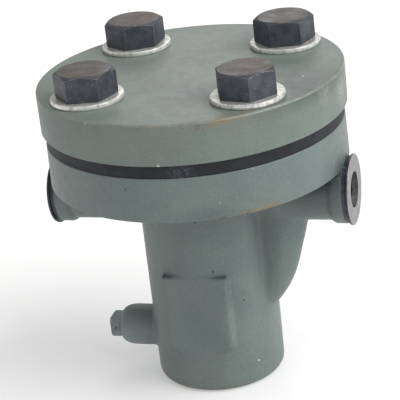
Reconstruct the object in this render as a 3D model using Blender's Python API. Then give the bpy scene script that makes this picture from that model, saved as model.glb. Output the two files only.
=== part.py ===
"""Inverted-bucket steam trap with in-line side ports and a bolted cap.

Metres, +Z up. The origin is the centre of the bowl's flat bottom. +X points along the pipe axis
to the inlet port, whose passage bulges down the bowl, and the flat pad faces -Y.
"""
import math

import bmesh
import bpy
from mathutils import Matrix, Vector

GAP = 0.0003                      # left between pieces that touch
FINE_SIDES = 72                   # facets round the flange, the gasket and the cap
ROUND_SIDES = 48                  # facets round the bowl and the bucket
PORT_SIDES = 28                   # facets round ports, tubes and the drain boss
SMALL_SIDES = 16                  # facets round pins, screws and holes
BOLT_SIDES = 24                   # facets round hexagons, a multiple of six

# bowl and flange of the body casting
BOWL_RADIUS = 0.0410
BOWL_FILLET = 0.0050
CAVITY_RADIUS = 0.0340
CAVITY_FLOOR = 0.0090
FLANGE_BOTTOM = 0.1420
FLANGE_TOP = 0.1695
FLANGE_BOTTOM_RADIUS = 0.0939
FLANGE_TOP_RADIUS = 0.09325

# flat pad on the front of the bowl
PAD_HALF_WIDTH = 0.0209
PAD_FACE = 0.0413
PAD_BOTTOM = 0.0309
PAD_TOP = 0.0814

# in-line ports, 1/2 in pipe thread
PORT_HEIGHT = 0.1244
PORT_FACE = 0.0973
RIM_START = 0.0958
RIM_RADIUS = 0.02214
COLLAR_START = 0.0848
COLLAR_RADIUS = 0.0210
NECK_RADIUS = 0.0190
PORT_BORE_RADIUS = 0.0098
PORT_CHAMFER_RADIUS = 0.0113
PORT_CHAMFER_DEPTH = 0.0015
INLET_BORE_END = 0.0450
OUTLET_BORE_END = -0.0590

# web that carries the inlet passage down the bowl: (height, reach from the axis)
WEB_HALF_WIDTH = 0.0150
WEB_OUTLINE = [(0.0425, 0.0360), (0.0450, 0.0402), (0.0500, 0.0444), (0.0570, 0.0498),
               (0.0660, 0.0550), (0.0750, 0.0584), (0.0950, 0.0634), (0.1240, 0.0700)]
INLET_PASSAGE_RADIUS = 0.0065
INLET_PASSAGE_LOW = Vector((0.0385, 0, 0.0560))
INLET_PASSAGE_HIGH = Vector((0.0540, 0, 0.1260))
TUBE_RADIUS = 0.0060
TUBE_BORE_RADIUS = 0.0048
TUBE_BEND = 0.0100
TUBE_START_X = 0.0380
TUBE_TOP = 0.0820

# outlet passage, up through the joint and across the cap
OUTLET_X = -0.0660
OUTLET_RADIUS = 0.0065
CAP_PASSAGE_HEIGHT = 0.1900
CAP_PASSAGE_RADIUS = 0.0050

# drain boss and its plug, on the -X side
DRAIN_HEIGHT = 0.0270
BOSS_RADIUS = 0.0135
BOSS_END = 0.0650
BOSS_ROUND_LENGTH = 0.0100
BOSS_FACE_RADIUS = 0.0092
PLUG_RADIUS = 0.0080
PLUG_INNER_END = 0.0385
PLUG_HALF_WIDTH = 0.00635
PLUG_END = 0.0728

# cap, joint ring and bolts
CAP_BOTTOM = 0.1778
CAP_TOP = 0.2032
CAP_RADIUS = 0.09525
CAP_ROUND = 0.0016
RING_RADIUS = 0.09275
RING_BORE_RADIUS = 0.0400
BOLT_SPACING = 0.0495
BOLT_RADIUS = 0.0111
BOLT_HOLE_RADIUS = 0.0114
CAP_HOLE_RADIUS = 0.0119
BOLT_END = 0.1450
WASHER_RADIUS = 0.0224
WASHER_THICKNESS = 0.0028
HEAD_HALF_FLATS = 0.01665
HEAD_HEIGHT = 0.0155
HEAD_ANGLES = {(-1, -1): 11.5, (1, -1): -10.8, (-1, 1): 27.2, (1, 1): 14.9}

# valve gear under the cap
PIVOT = Vector((-0.0250, 0, 0.1665))
LEVER_TRAVEL = 0.32               # radians, from open to shut
LEVER_THICKNESS = 0.0024
LEVER_HALF_WIDTH = 0.0045
LEVER_TAIL = -0.0040
LEVER_TIP = 0.0290
VALVE_ARM = 0.0100
HOOK_ARM = 0.0250
PIN_RADIUS = 0.0015
PIN_HALF_LENGTH = 0.0088
SEAT_FACE = 0.1721
SEAT_HALF_FLATS = 0.0070
SEAT_THREAD_RADIUS = 0.0065
SEAT_BORE_RADIUS = 0.0020
SEAT_TOP = 0.1840
PLATE_BOTTOM = 0.1760
PLATE_TOP = 0.1775
PLATE_X = (-0.0310, -0.0010)
PLATE_HALF_WIDTH = 0.0170
EAR_X = (-0.0290, -0.0210)
EAR_Y = (0.0063, 0.0078)
EAR_BOTTOM = 0.1633
SCREW_Y = 0.0130
SCREW_RADIUS = 0.0025
SCREW_HEAD_RADIUS = 0.0042
SCREW_HEAD_HEIGHT = 0.0028
SCREW_TOP = 0.1870

# bucket, at the bottom of its travel
BUCKET_RADIUS = 0.0290
BUCKET_WALL = 0.0012
BUCKET_BOTTOM = 0.0660
BUCKET_TOP = 0.1540
VENT_RADIUS = 0.0015
VENT_X = 0.0140
HOOK_WIRE_RADIUS = 0.0012
HOOK_HALF_WIDTH = 0.0070
HOOK_HEIGHT = 0.1618
HOOK_BEND = 0.0030


def clear_scene():
    for item in list(bpy.data.objects):
        bpy.data.objects.remove(item, do_unlink=True)


def make_material(name, color, roughness, metallic):
    material = bpy.data.materials.new(name)
    material.use_nodes = True
    shader = material.node_tree.nodes["Principled BSDF"]
    shader.inputs["Base Color"].default_value = (*color, 1)
    shader.inputs["Roughness"].default_value = roughness
    shader.inputs["Metallic"].default_value = metallic
    material.diffuse_color = (*color, 1)
    return material


def circle(radius, height, sides, centre=(0, 0)):
    """Points of a level circle, counter-clockwise from above."""
    points = []
    for step in range(sides):
        angle = 2 * math.pi * step / sides
        points.append(Vector((centre[0] + radius * math.cos(angle),
                              centre[1] + radius * math.sin(angle), height)))
    return points


def polygon_reach(half_flats, corners, angle):
    """Distance from the centre to a regular polygon's edge; a corner lies at angle 0."""
    sector = 2 * math.pi / corners
    return half_flats / math.cos((angle % sector) - sector / 2)


def lofted(name, sections, material, ring=False):
    """A closed body through level sections: open-ended ones are capped, a ring joins up."""
    bm = bmesh.new()
    rows = [[bm.verts.new(point) for point in section] for section in sections]
    count = len(rows[0])
    pairs = list(zip(rows, rows[1:]))
    if ring:
        pairs.append((rows[-1], rows[0]))
    for low, high in pairs:
        for index in range(count):
            following = (index + 1) % count
            bm.faces.new((low[index], low[following], high[following], high[index]))
    if not ring:
        bm.faces.new(rows[0])
        bm.faces.new(rows[-1])
    bmesh.ops.recalc_face_normals(bm, faces=bm.faces)
    mesh = bpy.data.meshes.new(name)
    bm.to_mesh(mesh)
    bm.free()
    mesh.shade_smooth()
    mesh.set_sharp_from_angle(angle=math.radians(30))
    mesh.materials.append(material)
    item = bpy.data.objects.new(name, mesh)
    bpy.context.collection.objects.link(item)
    return item


def turned(name, outline, sides, material, ring=False):
    return lofted(name, [circle(radius, height, sides) for radius, height in outline],
                  material, ring)


def box(name, low, high, material):
    corners = [Vector((low[0], low[1], 0)), Vector((high[0], low[1], 0)),
               Vector((high[0], high[1], 0)), Vector((low[0], high[1], 0))]
    sections = [[point + Vector((0, 0, height)) for point in corners]
                for height in (low[2], high[2])]
    return lofted(name, sections, material)


def helper(item):
    """Marks an object that only shapes another one."""
    item.hide_render = True
    item.display_type = "WIRE"
    return item


def combine(target, tool, operation):
    modifier = target.modifiers.new(operation.title() + " " + tool.name, "BOOLEAN")
    modifier.operation = operation
    modifier.object = helper(tool)


def rod(name, start, end, radius, material, sides=SMALL_SIDES):
    """A plain cylinder between two points."""
    start, end = Vector(start), Vector(end)
    length = (end - start).length
    item = turned(name, [(radius, 0), (radius, length)], sides, material)
    item.matrix_world = Matrix.Translation(start) @ (end - start).to_track_quat("Z", "Y").to_matrix().to_4x4()
    return item


def quarter_round(radius, height, size, steps, top):
    """Outline points of a rounded edge where a side of this radius meets a level face."""
    points = []
    for step in range(steps + 1):
        angle = math.pi / 2 * step / steps
        rise = size * math.sin(angle)
        points.append((radius - size + size * math.cos(angle), height - size + rise if top
                       else height + size - rise))
    return points if top else points[::-1]


def bent_tube(name, path, radius, bore, material):
    """A tube along a path; with no bore it is a solid wire."""
    frames = []
    for index, point in enumerate(path):
        before = path[max(index - 1, 0)]
        after = path[min(index + 1, len(path) - 1)]
        along = (after - before).normalized()
        across = Vector((0, 1, 0)) if abs(along.y) < 0.9 else Vector((1, 0, 0))
        if bore == 0:
            across = Vector((1, 0, 0))
        normal = along.cross(across).normalized()
        frames.append((point, normal, across))

    def section(frame, size):
        point, normal, across = frame
        return [point + size * (math.cos(2 * math.pi * step / SMALL_SIDES) * normal
                                + math.sin(2 * math.pi * step / SMALL_SIDES) * across)
                for step in range(SMALL_SIDES)]

    sections = [section(frame, radius) for frame in frames]
    if bore:
        sections += [section(frame, bore) for frame in reversed(frames)]
    return lofted(name, sections, material, ring=bool(bore))


def arc_points(centre, start, end, radius, steps, plane):
    """Points along an arc, in the XZ or the YZ plane."""
    points = []
    for step in range(steps + 1):
        angle = math.radians(start + (end - start) * step / steps)
        side, rise = radius * math.cos(angle), radius * math.sin(angle)
        offset = Vector((side, 0, rise)) if plane == "XZ" else Vector((0, side, rise))
        points.append(Vector(centre) + offset)
    return points


def make_port(name, side, material):
    outline = [(NECK_RADIUS, 0.020), (NECK_RADIUS, COLLAR_START), (COLLAR_RADIUS, COLLAR_START),
               (COLLAR_RADIUS, RIM_START), (RIM_RADIUS, RIM_START), (RIM_RADIUS, PORT_FACE)]
    port = turned(name, outline, PORT_SIDES, material)
    port.location = (0, 0, PORT_HEIGHT)
    port.rotation_euler = (0, side * math.pi / 2, 0)
    return port


def make_port_bore(name, side, end, material):
    outline = [(PORT_BORE_RADIUS, abs(end)), (PORT_BORE_RADIUS, PORT_FACE - PORT_CHAMFER_DEPTH),
               (PORT_CHAMFER_RADIUS, PORT_FACE), (PORT_CHAMFER_RADIUS, PORT_FACE + 0.002)]
    bore = turned(name, outline, PORT_SIDES, material)
    bore.location = (0, 0, PORT_HEIGHT)
    bore.rotation_euler = (0, side * math.pi / 2, 0)
    return bore


def make_web(material):
    """Level sections with a round nose, each reaching as far as the outline says."""
    sections = []
    for height, reach in WEB_OUTLINE:
        nose = reach - WEB_HALF_WIDTH
        section = [Vector((0, WEB_HALF_WIDTH, height)), Vector((0, -WEB_HALF_WIDTH, height))]
        for step in range(17):
            angle = math.pi * (step / 16 - 0.5)
            section.append(Vector((nose + WEB_HALF_WIDTH * math.cos(angle),
                                   WEB_HALF_WIDTH * math.sin(angle), height)))
        sections.append(section)
    return lofted("web_shape", sections, material)


def make_boss(material):
    outline = [(BOSS_RADIUS, 0.028)]
    for step in range(7):
        angle = math.pi / 2 * step / 6
        outline.append((BOSS_FACE_RADIUS + (BOSS_RADIUS - BOSS_FACE_RADIUS) * math.cos(angle),
                        BOSS_END - BOSS_ROUND_LENGTH * (1 - math.sin(angle))))
    boss = turned("boss_shape", outline, PORT_SIDES, material)
    boss.location = (0, 0, DRAIN_HEIGHT)
    boss.rotation_euler = (0, -math.pi / 2, 0)
    return boss


def bolt_places():
    for number, place in enumerate(HEAD_ANGLES, start=1):
        yield number, place[0] * BOLT_SPACING, place[1] * BOLT_SPACING, HEAD_ANGLES[place]


def make_body(material):
    outline = quarter_round(BOWL_RADIUS, 0, BOWL_FILLET, 5, top=False)
    outline.append((BOWL_RADIUS, FLANGE_BOTTOM + 0.010))
    body = turned("body_casting", outline, ROUND_SIDES, material)
    flange = turned("flange_shape", [(FLANGE_BOTTOM_RADIUS, FLANGE_BOTTOM),
                                     (FLANGE_TOP_RADIUS, FLANGE_TOP)], FINE_SIDES, material)
    combine(body, flange, "UNION")
    combine(body, make_web(material), "UNION")
    combine(body, make_port("inlet_shape", 1, material), "UNION")
    combine(body, make_port("outlet_shape", -1, material), "UNION")
    combine(body, make_boss(material), "UNION")
    pad = box("pad_shape", (-PAD_HALF_WIDTH, -PAD_FACE, PAD_BOTTOM),
              (PAD_HALF_WIDTH, -0.025, PAD_TOP), material)
    combine(body, pad, "UNION")

    cavity_outline = quarter_round(CAVITY_RADIUS, CAVITY_FLOOR, BOWL_FILLET, 4, top=False)
    cavity_outline.append((CAVITY_RADIUS, FLANGE_TOP + 0.005))
    combine(body, turned("cavity_cut", cavity_outline, ROUND_SIDES, material), "DIFFERENCE")
    combine(body, make_port_bore("inlet_cut", 1, INLET_BORE_END, material), "DIFFERENCE")
    combine(body, make_port_bore("outlet_cut", -1, OUTLET_BORE_END, material), "DIFFERENCE")
    combine(body, rod("inlet_drop_cut", INLET_PASSAGE_LOW, INLET_PASSAGE_HIGH,
                      INLET_PASSAGE_RADIUS, material), "DIFFERENCE")
    entry_end = INLET_PASSAGE_LOW + Vector((0.001, 0, 0))
    combine(body, rod("inlet_entry_cut", (0.024, 0, INLET_PASSAGE_LOW.z), entry_end,
                      TUBE_RADIUS + GAP, material), "DIFFERENCE")
    combine(body, rod("outlet_rise_cut", (OUTLET_X, 0, PORT_HEIGHT),
                      (OUTLET_X, 0, FLANGE_TOP + 0.004), OUTLET_RADIUS, material), "DIFFERENCE")
    combine(body, rod("drain_cut", (-0.024, 0, DRAIN_HEIGHT),
                      (-BOSS_END - 0.004, 0, DRAIN_HEIGHT), PLUG_RADIUS + GAP, material),
            "DIFFERENCE")
    for number, x, y, _ in bolt_places():
        hole = rod(f"body_hole_{number}", (x, y, FLANGE_BOTTOM - 0.005),
                   (x, y, FLANGE_TOP + 0.005), BOLT_HOLE_RADIUS, material)
        combine(body, hole, "DIFFERENCE")
    return body


def make_cap(material):
    outline = [(CAP_RADIUS, CAP_BOTTOM)] + quarter_round(CAP_RADIUS, CAP_TOP, CAP_ROUND, 4, True)
    cap = turned("cap", outline, FINE_SIDES, material)
    seat_x = PIVOT.x + VALVE_ARM
    below = CAP_BOTTOM - 0.005
    cuts = [rod("cap_rise_cut", (OUTLET_X, 0, below), (OUTLET_X, 0, CAP_PASSAGE_HEIGHT + 0.001),
                OUTLET_RADIUS, material),
            rod("cap_cross_cut", (OUTLET_X - 0.002, 0, CAP_PASSAGE_HEIGHT),
                (seat_x + 0.002, 0, CAP_PASSAGE_HEIGHT), CAP_PASSAGE_RADIUS, material),
            rod("cap_seat_cut", (seat_x, 0, below), (seat_x, 0, SEAT_TOP + 0.003),
                SEAT_THREAD_RADIUS + GAP, material)]
    for number, x, y, _ in bolt_places():
        cuts.append(rod(f"cap_hole_{number}", (x, y, below), (x, y, CAP_TOP + 0.005),
                        CAP_HOLE_RADIUS, material))
    for side in (-1, 1):
        cuts.append(rod(f"cap_screw_cut_{side + 2}", (seat_x, side * SCREW_Y, below),
                        (seat_x, side * SCREW_Y, SCREW_TOP + 0.001), SCREW_RADIUS + GAP, material))
    for tool in cuts:
        combine(cap, tool, "DIFFERENCE")
    return cap


def make_gasket(material):
    low, high = FLANGE_TOP + GAP, CAP_BOTTOM - GAP
    ring = turned("joint_gasket", [(RING_RADIUS, low), (RING_RADIUS, high),
                                   (RING_BORE_RADIUS, high), (RING_BORE_RADIUS, low)],
                  FINE_SIDES, material, ring=True)
    for number, x, y, _ in bolt_places():
        combine(ring, rod(f"gasket_hole_{number}", (x, y, low - 0.005), (x, y, high + 0.005),
                          CAP_HOLE_RADIUS, material), "DIFFERENCE")
    combine(ring, rod("gasket_outlet_cut", (OUTLET_X, 0, low - 0.005), (OUTLET_X, 0, high + 0.005),
                      OUTLET_RADIUS, material), "DIFFERENCE")


def make_bolt(number, x, y, turn, material):
    """Hex cap screw: the chamfer cuts the corners in arcs, and the shank is plain."""
    base = CAP_TOP + 2 * GAP + WASHER_THICKNESS
    top = base + HEAD_HEIGHT
    sides = BOLT_SIDES
    chamfer_radius = HEAD_HALF_FLATS * 0.96
    flat_ring, side_ring = [], []
    for step in range(sides):
        angle = 2 * math.pi * step / sides
        reach = polygon_reach(HEAD_HALF_FLATS, 6, angle)
        across = Vector((reach * math.cos(angle), reach * math.sin(angle), 0))
        drop = (reach - chamfer_radius) * math.tan(math.radians(30))
        flat_ring.append(across + Vector((0, 0, base)))
        side_ring.append(across + Vector((0, 0, top - drop)))
    tip = BOLT_RADIUS * 0.15
    sections = [circle(BOLT_RADIUS - tip, BOLT_END, sides), circle(BOLT_RADIUS, BOLT_END + tip, sides),
                circle(BOLT_RADIUS, base, sides), flat_ring, side_ring,
                circle(chamfer_radius, top, sides)]
    bolt = lofted(f"bolt_{number}", sections, material)
    bolt.location = (x, y, 0)
    bolt.rotation_euler = (0, 0, math.radians(turn))


def make_washer(number, x, y, material):
    low = CAP_TOP + GAP
    high = low + WASHER_THICKNESS
    edge = WASHER_THICKNESS * 0.25
    washer = turned(f"washer_{number}", [(WASHER_RADIUS, low), (WASHER_RADIUS, high - edge),
                                         (WASHER_RADIUS - edge, high), (CAP_HOLE_RADIUS, high),
                                         (CAP_HOLE_RADIUS, low)], PORT_SIDES, material, ring=True)
    washer.location = (x, y, 0)


def make_drain_plug(material):
    """Square-head pipe plug, modelled upright and laid along -X."""
    head_base = BOSS_END + GAP
    edge = 0.0012
    low_ring, high_ring, end_ring = [], [], []
    for step in range(SMALL_SIDES):
        angle = 2 * math.pi * step / SMALL_SIDES
        reach = polygon_reach(PLUG_HALF_WIDTH, 4, angle)
        across = Vector((reach * math.cos(angle), reach * math.sin(angle), 0))
        across = Matrix.Rotation(math.pi / 4, 3, "Z") @ across
        low_ring.append(across + Vector((0, 0, head_base)))
        high_ring.append(across + Vector((0, 0, PLUG_END - edge)))
        end_ring.append(across * 0.84 + Vector((0, 0, PLUG_END)))

    def round_ring(radius, height):
        turn = Matrix.Rotation(math.pi / 4, 3, "Z")
        return [turn @ point for point in circle(radius, height, SMALL_SIDES)]

    sections = [round_ring(PLUG_RADIUS - 0.001, PLUG_INNER_END),
                round_ring(PLUG_RADIUS, PLUG_INNER_END + 0.001),
                round_ring(PLUG_RADIUS, head_base), low_ring, high_ring, end_ring]
    plug = lofted("drain_plug", sections, material)
    plug.location = (0, 0, DRAIN_HEIGHT)
    plug.rotation_euler = (0, -math.pi / 2, 0)


def make_inlet_tube(material):
    height = INLET_PASSAGE_LOW.z
    path = [Vector((TUBE_START_X, 0, height)), Vector((TUBE_BEND + 0.012, 0, height))]
    path += arc_points((TUBE_BEND, 0, height + TUBE_BEND), -90, -180, TUBE_BEND, 8, "XZ")
    path.append(Vector((0, 0, TUBE_TOP)))
    bent_tube("inlet_tube", path, TUBE_RADIUS, TUBE_BORE_RADIUS, material)


def make_valve_seat(material):
    sides = BOLT_SIDES
    seat_x = PIVOT.x + VALVE_ARM
    hexagons = []
    for height in (SEAT_FACE, CAP_BOTTOM - GAP):
        ring = []
        for step in range(sides):
            angle = 2 * math.pi * step / sides
            reach = polygon_reach(SEAT_HALF_FLATS, 6, angle)
            ring.append(Vector((reach * math.cos(angle), reach * math.sin(angle), height)))
        hexagons.append(ring)
    sections = [circle(SEAT_BORE_RADIUS, SEAT_FACE, sides), *hexagons,
                circle(SEAT_THREAD_RADIUS, CAP_BOTTOM - GAP, sides),
                circle(SEAT_THREAD_RADIUS, SEAT_TOP, sides), circle(SEAT_BORE_RADIUS, SEAT_TOP, sides)]
    seat = lofted("valve_seat", sections, material, ring=True)
    seat.location = (seat_x, 0, 0)


def make_bracket(material):
    plate = box("lever_bracket", (PLATE_X[0], -PLATE_HALF_WIDTH, PLATE_BOTTOM),
                (PLATE_X[1], PLATE_HALF_WIDTH, PLATE_TOP), material)
    for side in (-1, 1):
        low_y, high_y = sorted((side * EAR_Y[0], side * EAR_Y[1]))
        ear = box(f"ear_shape_{side + 2}", (EAR_X[0], low_y, EAR_BOTTOM),
                  (EAR_X[1], high_y, PLATE_BOTTOM + 0.0005), material)
        combine(plate, ear, "UNION")
    seat_x = PIVOT.x + VALVE_ARM
    combine(plate, rod("bracket_seat_cut", (seat_x, 0, PLATE_BOTTOM - 0.003),
                       (seat_x, 0, PLATE_TOP + 0.003), SEAT_HALF_FLATS / 0.866 + 2 * GAP, material),
            "DIFFERENCE")
    combine(plate, rod("bracket_pin_cut", (PIVOT.x, -0.012, PIVOT.z), (PIVOT.x, 0.012, PIVOT.z),
                       PIN_RADIUS + GAP, material), "DIFFERENCE")
    for side in (-1, 1):
        combine(plate, rod(f"bracket_screw_cut_{side + 2}",
                           (seat_x, side * SCREW_Y, PLATE_BOTTOM - 0.003),
                           (seat_x, side * SCREW_Y, PLATE_TOP + 0.003), SCREW_RADIUS + GAP, material),
                "DIFFERENCE")


def make_bracket_screws(material):
    head_top = PLATE_BOTTOM - GAP
    for number, side in enumerate((-1, 1), start=1):
        screw = turned(f"bracket_screw_{number}",
                       [(SCREW_HEAD_RADIUS * 0.8, head_top - SCREW_HEAD_HEIGHT),
                        (SCREW_HEAD_RADIUS, head_top - SCREW_HEAD_HEIGHT * 0.6),
                        (SCREW_HEAD_RADIUS, head_top), (SCREW_RADIUS, head_top),
                        (SCREW_RADIUS, SCREW_TOP)], SMALL_SIDES, material)
        screw.location = (PIVOT.x + VALVE_ARM, side * SCREW_Y, 0)


def make_lever(steel, stainless):
    """The lever is drawn level about its pivot, and the empty holds it at the open angle."""
    pivot = bpy.data.objects.new("lever_pivot", None)
    pivot.location = PIVOT
    pivot.rotation_euler = (0, LEVER_TRAVEL, 0)
    bpy.context.collection.objects.link(pivot)
    half = LEVER_THICKNESS / 2
    lever = box("lever", (LEVER_TAIL, -LEVER_HALF_WIDTH, -half),
                (LEVER_TIP, LEVER_HALF_WIDTH, half), steel)
    eye = rod("eye_shape", (0, -LEVER_HALF_WIDTH + 0.0001, 0), (0, LEVER_HALF_WIDTH - 0.0001, 0),
              0.0032, steel)
    pin_cut = rod("lever_pin_cut", (0, -0.010, 0), (0, 0.010, 0), PIN_RADIUS + GAP, steel)
    stem_cut = rod("lever_stem_cut", (VALVE_ARM, 0, -0.005), (VALVE_ARM, 0, 0.005),
                   PIN_RADIUS + GAP, steel)
    combine(lever, eye, "UNION")
    combine(lever, pin_cut, "DIFFERENCE")
    combine(lever, stem_cut, "DIFFERENCE")

    valve = turned("valve", [(PIN_RADIUS, -half - 0.0022), (PIN_RADIUS, half + GAP),
                             (0.0040, half + GAP), (0.0040, 0.0042), (0.0032, 0.0050)],
                   SMALL_SIDES, stainless)
    clip_top = -half - GAP
    clip = turned("valve_clip", [(0.0040, clip_top - 0.0010), (0.0040, clip_top),
                                 (PIN_RADIUS + GAP, clip_top), (PIN_RADIUS + GAP, clip_top - 0.0010)],
                  SMALL_SIDES, stainless, ring=True)
    for item in (valve, clip):
        item.location = (VALVE_ARM, 0, 0)
    for item in (lever, eye, pin_cut, stem_cut, valve, clip):
        item.parent = pivot


def make_bucket(material, wire_material):
    guide = bpy.data.objects.new("bucket_guide", None)
    bpy.context.collection.objects.link(guide)
    inner = BUCKET_RADIUS - BUCKET_WALL
    ceiling = BUCKET_TOP - BUCKET_WALL
    edge = 0.002
    bucket = turned("bucket", [(inner - edge, ceiling), (inner, ceiling - edge),
                               (inner, BUCKET_BOTTOM), (BUCKET_RADIUS, BUCKET_BOTTOM),
                               (BUCKET_RADIUS, BUCKET_TOP - edge), (BUCKET_RADIUS - edge, BUCKET_TOP)],
                    ROUND_SIDES, material)
    vent = rod("vent_cut", (VENT_X, 0, BUCKET_TOP - 0.005), (VENT_X, 0, BUCKET_TOP + 0.005),
               VENT_RADIUS, material)
    combine(bucket, vent, "DIFFERENCE")
    foot = BUCKET_TOP + GAP
    corner = HOOK_HALF_WIDTH - HOOK_BEND
    path = [Vector((0, HOOK_HALF_WIDTH, foot))]
    path += arc_points((0, corner, HOOK_HEIGHT - HOOK_BEND), 0, 90, HOOK_BEND, 5, "YZ")
    path += arc_points((0, -corner, HOOK_HEIGHT - HOOK_BEND), 90, 180, HOOK_BEND, 5, "YZ")
    path.append(Vector((0, -HOOK_HALF_WIDTH, foot)))
    hook = bent_tube("bucket_hook", path, HOOK_WIRE_RADIUS, 0, wire_material)
    for item in (bucket, vent, hook):
        item.parent = guide


def main():
    clear_scene()
    paint = make_material("grey_green_paint", (0.25, 0.29, 0.27), 0.45, 0.0)
    cap_paint = make_material("cap_paint", (0.27, 0.30, 0.27), 0.45, 0.0)
    graphite = make_material("graphite_joint", (0.028, 0.036, 0.045), 0.6, 0.0)
    black_oxide = make_material("black_oxide_steel", (0.04, 0.045, 0.055), 0.4, 0.8)
    zinc = make_material("zinc_plate", (0.55, 0.55, 0.52), 0.35, 0.9)
    plug_steel = make_material("plug_steel", (0.10, 0.11, 0.11), 0.5, 0.6)
    stainless = make_material("stainless_steel", (0.50, 0.50, 0.49), 0.3, 1.0)
    sheet_steel = make_material("pressed_stainless", (0.46, 0.46, 0.45), 0.35, 1.0)

    make_body(paint)
    make_cap(cap_paint)
    make_gasket(graphite)
    for number, x, y, turn in bolt_places():
        make_bolt(number, x, y, turn, black_oxide)
        make_washer(number, x, y, zinc)
    make_drain_plug(plug_steel)
    make_inlet_tube(sheet_steel)
    make_valve_seat(stainless)
    make_bracket(sheet_steel)
    make_bracket_screws(stainless)
    rod("fulcrum_pin", (PIVOT.x, -PIN_HALF_LENGTH, PIVOT.z), (PIVOT.x, PIN_HALF_LENGTH, PIVOT.z),
        PIN_RADIUS, stainless)
    make_lever(sheet_steel, stainless)
    make_bucket(sheet_steel, stainless)


main()
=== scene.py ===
import math

import bpy
from mathutils import Matrix, Vector, noise


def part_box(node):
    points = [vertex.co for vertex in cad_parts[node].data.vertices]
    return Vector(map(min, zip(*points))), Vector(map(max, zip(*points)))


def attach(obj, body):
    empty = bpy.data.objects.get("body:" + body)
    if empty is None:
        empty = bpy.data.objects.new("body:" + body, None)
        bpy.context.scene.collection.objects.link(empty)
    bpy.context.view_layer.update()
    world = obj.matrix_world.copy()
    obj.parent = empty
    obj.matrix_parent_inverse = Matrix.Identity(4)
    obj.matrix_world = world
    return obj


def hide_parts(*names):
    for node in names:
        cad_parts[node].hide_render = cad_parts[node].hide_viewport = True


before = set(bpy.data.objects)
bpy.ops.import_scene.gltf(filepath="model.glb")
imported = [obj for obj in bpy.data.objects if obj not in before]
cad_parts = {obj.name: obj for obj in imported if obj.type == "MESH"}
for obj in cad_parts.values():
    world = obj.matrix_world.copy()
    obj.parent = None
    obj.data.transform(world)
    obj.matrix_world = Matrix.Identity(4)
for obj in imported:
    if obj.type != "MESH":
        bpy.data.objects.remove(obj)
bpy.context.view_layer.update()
mm = 0.001

# how pieces are made; angles in degrees, lengths in millimetres
making = {"weld": 0.001, "smoothAngle": 32, "bevelSteps": 3, "edgeAngle": 24, "overcut": 5}

# places that several pieces share, in millimetres
layout = {
    "boltPlace": 49.5, "boltCorners": ((-1, -1), (1, -1), (-1, 1), (1, 1)),
    "portHeight": 124.4, "passageRadius": 6.5, "outletX": -66.0, "seatX": -15.0, "screwY": 13,
    "pivot": (-25.0, 0.0, 166.5),
}


def hexColor(text):
    # sRGB hex to the linear values that shaders use
    parts = [int(text[i:i + 2], 16) / 255 for i in (1, 3, 5)]
    linear = [c / 12.92 if c <= 0.04045 else ((c + 0.055) / 1.055) ** 2.4 for c in parts]
    return (*linear, 1)


def deselect():
    bpy.ops.object.select_all(action="DESELECT")


def activate(piece):
    deselect()
    piece.select_set(True)
    bpy.context.view_layer.objects.active = piece


def applyPlace(piece):
    activate(piece)
    bpy.ops.object.transform_apply(location=True, rotation=True, scale=True)


def moved(piece, offset=(0, 0, 0), turn=(0, 0, 0)):
    # offset in millimetres, turn in degrees, both baked into the mesh
    piece.location = Vector(offset) * mm
    piece.rotation_euler = [math.radians(a) for a in turn]
    applyPlace(piece)
    return piece


def pointing(piece, height, side):
    # lays an upright piece along +X (side 1) or -X (side -1) at this height
    return moved(piece, (0, 0, height), (0, 90 * side, 0))


def applied(piece, kind, **settings):
    modifier = piece.modifiers.new(kind.lower(), kind)
    for key, value in settings.items():
        setattr(modifier, key, value)
    activate(piece)
    bpy.ops.object.modifier_apply(modifier=modifier.name)


def combined(piece, tool, operation="DIFFERENCE", solver="EXACT"):
    applied(piece, "BOOLEAN", operation=operation, object=tool, solver=solver)
    bpy.data.objects.remove(tool, do_unlink=True)


def cutAway(piece, cutters):
    for cutter in cutters:
        combined(piece, cutter, "DIFFERENCE", "MANIFOLD")


def bevelCorners(piece, width):
    # only corners sharper than the edge angle; the bevel takes the second material
    applied(piece, "BEVEL", width=width * mm, segments=making["bevelSteps"],
            limit_method="ANGLE", angle_limit=math.radians(making["edgeAngle"]), material=1)


def openMesh():
    bpy.ops.object.mode_set(mode="EDIT")
    bpy.ops.mesh.select_all(action="SELECT")


def extrudeBy(offset):
    step = tuple(value * mm for value in offset)
    bpy.ops.mesh.extrude_region_move(TRANSFORM_OT_translate={"value": step})


def closeMesh(weld=False):
    bpy.ops.mesh.select_all(action="SELECT")
    if weld:
        bpy.ops.mesh.remove_doubles(threshold=making["weld"] * mm)
    bpy.ops.mesh.normals_make_consistent(inside=False)
    bpy.ops.object.mode_set(mode="OBJECT")


def turnedUp(name, outline, sides, hollow=False):
    # a circle is extruded and resized along an outline of (radius, height) in millimetres
    deselect()
    radius, height = outline[0]
    bpy.ops.mesh.primitive_circle_add(
        vertices=sides, radius=radius * mm, fill_type="NOTHING" if hollow else "NGON",
        location=(0, 0, height * mm))
    piece = bpy.context.object
    piece.name = name
    applyPlace(piece)
    openMesh()
    for (r0, h0), (r1, h1) in zip(outline, outline[1:]):
        extrudeBy((0, 0, h1 - h0))
        if r1 != r0:
            bpy.ops.transform.resize(value=(r1 / r0, r1 / r0, 1), center_override=(0, 0, h1 * mm))
    if hollow:
        bpy.ops.mesh.select_all(action="DESELECT")
        bpy.ops.mesh.select_mode(type="EDGE")
        bpy.ops.mesh.select_non_manifold()
        bpy.ops.mesh.bridge_edge_loops()
    closeMesh(weld=True)
    return piece


def rodBetween(name, start, end, radius, sides=48):
    # plain round bar for passages, holes and pins
    start, end = Vector(start), Vector(end)
    piece = turnedUp(name, [(radius, 0), (radius, (end - start).length)], sides)
    piece.rotation_euler = (end - start).to_track_quat("Z", "Y").to_euler()
    piece.location = start * mm
    applyPlace(piece)
    return piece


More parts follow.
